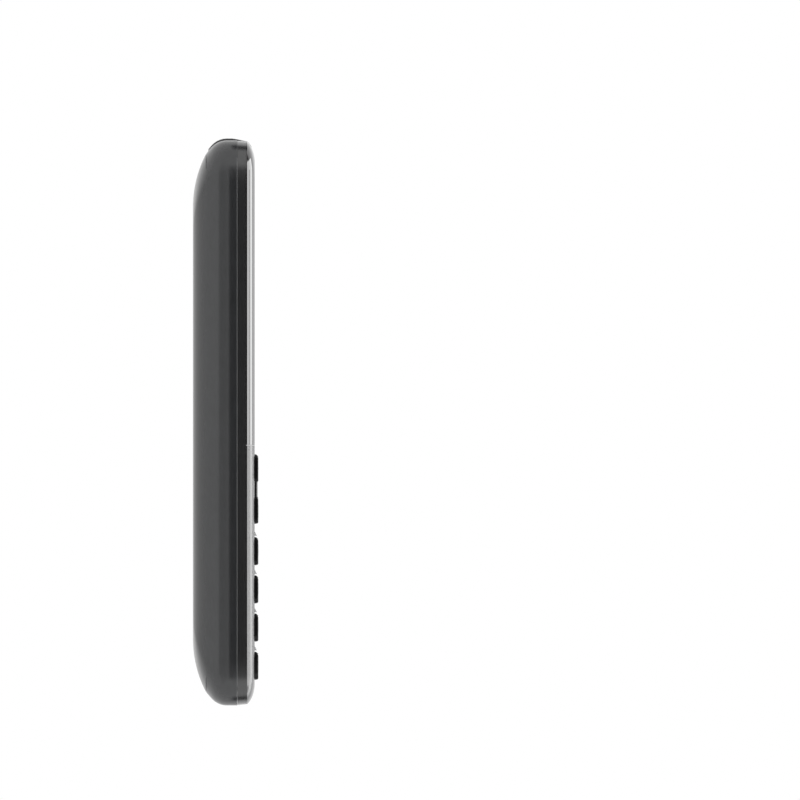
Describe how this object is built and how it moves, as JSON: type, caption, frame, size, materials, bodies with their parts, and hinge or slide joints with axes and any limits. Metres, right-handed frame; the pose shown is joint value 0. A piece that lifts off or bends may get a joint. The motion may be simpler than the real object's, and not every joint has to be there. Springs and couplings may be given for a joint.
{
  "type": "feature phone",
  "caption": "Slim bar-shaped feature phone with a full-width window over the screen, a raised keypad, a torch on its top end and sockets on its bottom end.",
  "frame": {"origin": "centre of the phone's footprint, on the flat back it lies on", "axes": "+Z from the back to the front (keys and screen), +Y towards the torch end, +X to the right as seen from the front"},
  "size_m": [0.046, 0.115, 0.0133],
  "materials": {
    "cover_grey": "satin dark grey moulded plastic",
    "housing_black": "satin black moulded plastic",
    "lens_black": "glossy black-backed window",
    "key_black": "satin black key cap with printed legend",
    "key_gloss": "semi-gloss black",
    "bezel_gloss": "glossy dark grey ring",
    "frame_black": "fine-textured black plastic",
    "connector_black": "black connector plastic",
    "mesh_black": "black woven mesh",
    "foam": "black foam",
    "silicone": "dark silicone rubber",
    "display_glass": "dark display glass",
    "white_plastic": "white backlight frame",
    "flex_film": "amber flexible film",
    "board_green": "green solder mask",
    "dome_steel": "domes on a thin film",
    "mesh_steel": "dark woven steel",
    "speaker_can": "dark speaker housing",
    "led_yellow": "yellow phosphor",
    "torch_lens": "clear dome over the yellow phosphor",
    "steel": "plain stamped steel",
    "screw_steel": "zinc-plated steel",
    "tungsten": "dense sintered metal",
    "battery_can": "wrapped aluminium can",
    "gold_contact": "plated contacts",
    "antenna_copper": "plated plastic carrier"
  },
  "bodies": {
    "cover": {"rear_cover": "cover_grey", "speaker_mesh": "mesh_black"},
    "phone": {"mid_frame": "frame_black", "front_housing": "housing_black", "display_lens": "lens_black", "display_gasket": "foam", "display_glass": "display_glass", "display_backlight": "white_plastic", "display_flex": "flex_film", "main_board": "board_green", "dome_sheet": "dome_steel", "keypad_mat": "silicone", "earpiece": "speaker_can", "earpiece_mesh": "mesh_steel", "torch_led": "led_yellow", "torch_lens": "torch_lens", "torch_bezel": "bezel_gloss", "loudspeaker": "speaker_can", "speaker_gasket": "foam", "vibration_motor": "steel", "battery_connector": "gold_contact", "sim_socket_left": "steel", "sim_socket_right": "steel", "card_socket": "steel", "shield_can": "steel", "antenna": "antenna_copper", "microphone": "steel", "mic_boot": "silicone", "audio_jack": "connector_black", "usb_shell": "steel", "usb_tongue": "connector_black", "screws": "screw_steel"},
    "battery": {"battery_cell": "battery_can", "battery_cap": "frame_black"},
    "vibrator": {"vibrator_weight": "tungsten"},
    "nav_rocker": {"nav_rocker": "silicone"},
    "nav_ring": {"nav_ring": "key_gloss"},
    "key_1": {"key_1": "key_black"},
    "key_2": {"key_2": "key_black"},
    "key_3": {"key_3": "key_black"},
    "key_4": {"key_4": "key_black"},
    "key_5": {"key_5": "key_black"},
    "key_6": {"key_6": "key_black"},
    "key_7": {"key_7": "key_black"},
    "key_8": {"key_8": "key_black"},
    "key_9": {"key_9": "key_black"},
    "key_star": {"key_star": "key_black"},
    "key_0": {"key_0": "key_black"},
    "key_hash": {"key_hash": "key_black"},
    "soft_key_left": {"soft_key_left": "key_black"},
    "soft_key_right": {"soft_key_right": "key_black"},
    "call_key": {"call_key": "key_black"},
    "end_key": {"end_key": "key_black"},
    "ok_key": {"ok_key": "key_black"}
  },
  "joints": [
    {"name": "cover_release", "type": "slide", "parent": "cover", "child": "phone", "axis": [0, 0, 1], "range_m": [0, 0.03]},
    {"name": "battery_lift", "type": "slide", "parent": "phone", "child": "battery", "axis": [0, 0, -1], "range_m": [0, 0.012]},
    {"name": "nav_left_right", "type": "hinge", "parent": "phone", "child": "nav_rocker", "pos_m": [0, -0.0136, 0.0096], "axis": [0, 1, 0], "range_deg": [-2, 2], "stiffness_Nm_per_rad": 0.2},
    {"name": "nav_up_down", "type": "hinge", "parent": "nav_rocker", "child": "nav_ring", "pos_m": [0, -0.0136, 0.01045], "axis": [1, 0, 0], "range_deg": [-2, 2], "stiffness_Nm_per_rad": 0.2},
    {"name": "vibrator_spin", "type": "hinge", "parent": "phone", "child": "vibrator", "pos_m": [0.0119, 0.0465, 0.0052], "axis": [1, 0, 0], "continuous": true},
    {"name": "press_key_1", "type": "slide", "parent": "phone", "child": "key_1", "axis": [0, 0, -1], "range_m": [0, 0.0003], "stiffness_N_per_m": 2000, "springref_m": -0.0003},
    {"name": "press_key_2", "type": "slide", "parent": "phone", "child": "key_2", "axis": [0, 0, -1], "range_m": [0, 0.0003], "stiffness_N_per_m": 2000, "springref_m": -0.0003},
    {"name": "press_key_3", "type": "slide", "parent": "phone", "child": "key_3", "axis": [0, 0, -1], "range_m": [0, 0.0003], "stiffness_N_per_m": 2000, "springref_m": -0.0003},
    {"name": "press_key_4", "type": "slide", "parent": "phone", "child": "key_4", "axis": [0, 0, -1], "range_m": [0, 0.0003], "stiffness_N_per_m": 2000, "springref_m": -0.0003},
    {"name": "press_key_5", "type": "slide", "parent": "phone", "child": "key_5", "axis": [0, 0, -1], "range_m": [0, 0.0003], "stiffness_N_per_m": 2000, "springref_m": -0.0003},
    {"name": "press_key_6", "type": "slide", "parent": "phone", "child": "key_6", "axis": [0, 0, -1], "range_m": [0, 0.0003], "stiffness_N_per_m": 2000, "springref_m": -0.0003},
    {"name": "press_key_7", "type": "slide", "parent": "phone", "child": "key_7", "axis": [0, 0, -1], "range_m": [0, 0.0003], "stiffness_N_per_m": 2000, "springref_m": -0.0003},
    {"name": "press_key_8", "type": "slide", "parent": "phone", "child": "key_8", "axis": [0, 0, -1], "range_m": [0, 0.0003], "stiffness_N_per_m": 2000, "springref_m": -0.0003},
    {"name": "press_key_9", "type": "slide", "parent": "phone", "child": "key_9", "axis": [0, 0, -1], "range_m": [0, 0.0003], "stiffness_N_per_m": 2000, "springref_m": -0.0003},
    {"name": "press_key_star", "type": "slide", "parent": "phone", "child": "key_star", "axis": [0, 0, -1], "range_m": [0, 0.0003], "stiffness_N_per_m": 2000, "springref_m": -0.0003},
    {"name": "press_key_0", "type": "slide", "parent": "phone", "child": "key_0", "axis": [0, 0, -1], "range_m": [0, 0.0003], "stiffness_N_per_m": 2000, "springref_m": -0.0003},
    {"name": "press_key_hash", "type": "slide", "parent": "phone", "child": "key_hash", "axis": [0, 0, -1], "range_m": [0, 0.0003], "stiffness_N_per_m": 2000, "springref_m": -0.0003},
    {"name": "press_soft_key_left", "type": "slide", "parent": "phone", "child": "soft_key_left", "axis": [0, 0, -1], "range_m": [0, 0.0003], "stiffness_N_per_m": 2000, "springref_m": -0.0003},
    {"name": "press_soft_key_right", "type": "slide", "parent": "phone", "child": "soft_key_right", "axis": [0, 0, -1], "range_m": [0, 0.0003], "stiffness_N_per_m": 2000, "springref_m": -0.0003},
    {"name": "press_call_key", "type": "slide", "parent": "phone", "child": "call_key", "axis": [0, 0, -1], "range_m": [0, 0.0003], "stiffness_N_per_m": 2000, "springref_m": -0.0003},
    {"name": "press_end_key", "type": "slide", "parent": "phone", "child": "end_key", "axis": [0, 0, -1], "range_m": [0, 0.0003], "stiffness_N_per_m": 2000, "springref_m": -0.0003},
    {"name": "press_ok_key", "type": "slide", "parent": "phone", "child": "ok_key", "axis": [0, 0, -1], "range_m": [0, 0.0003], "stiffness_N_per_m": 2000, "springref_m": -0.0003}
  ],
  "couplings": [
    {"joint": "battery_lift", "follows": "cover_release", "ratio": 0.4}
  ]
}
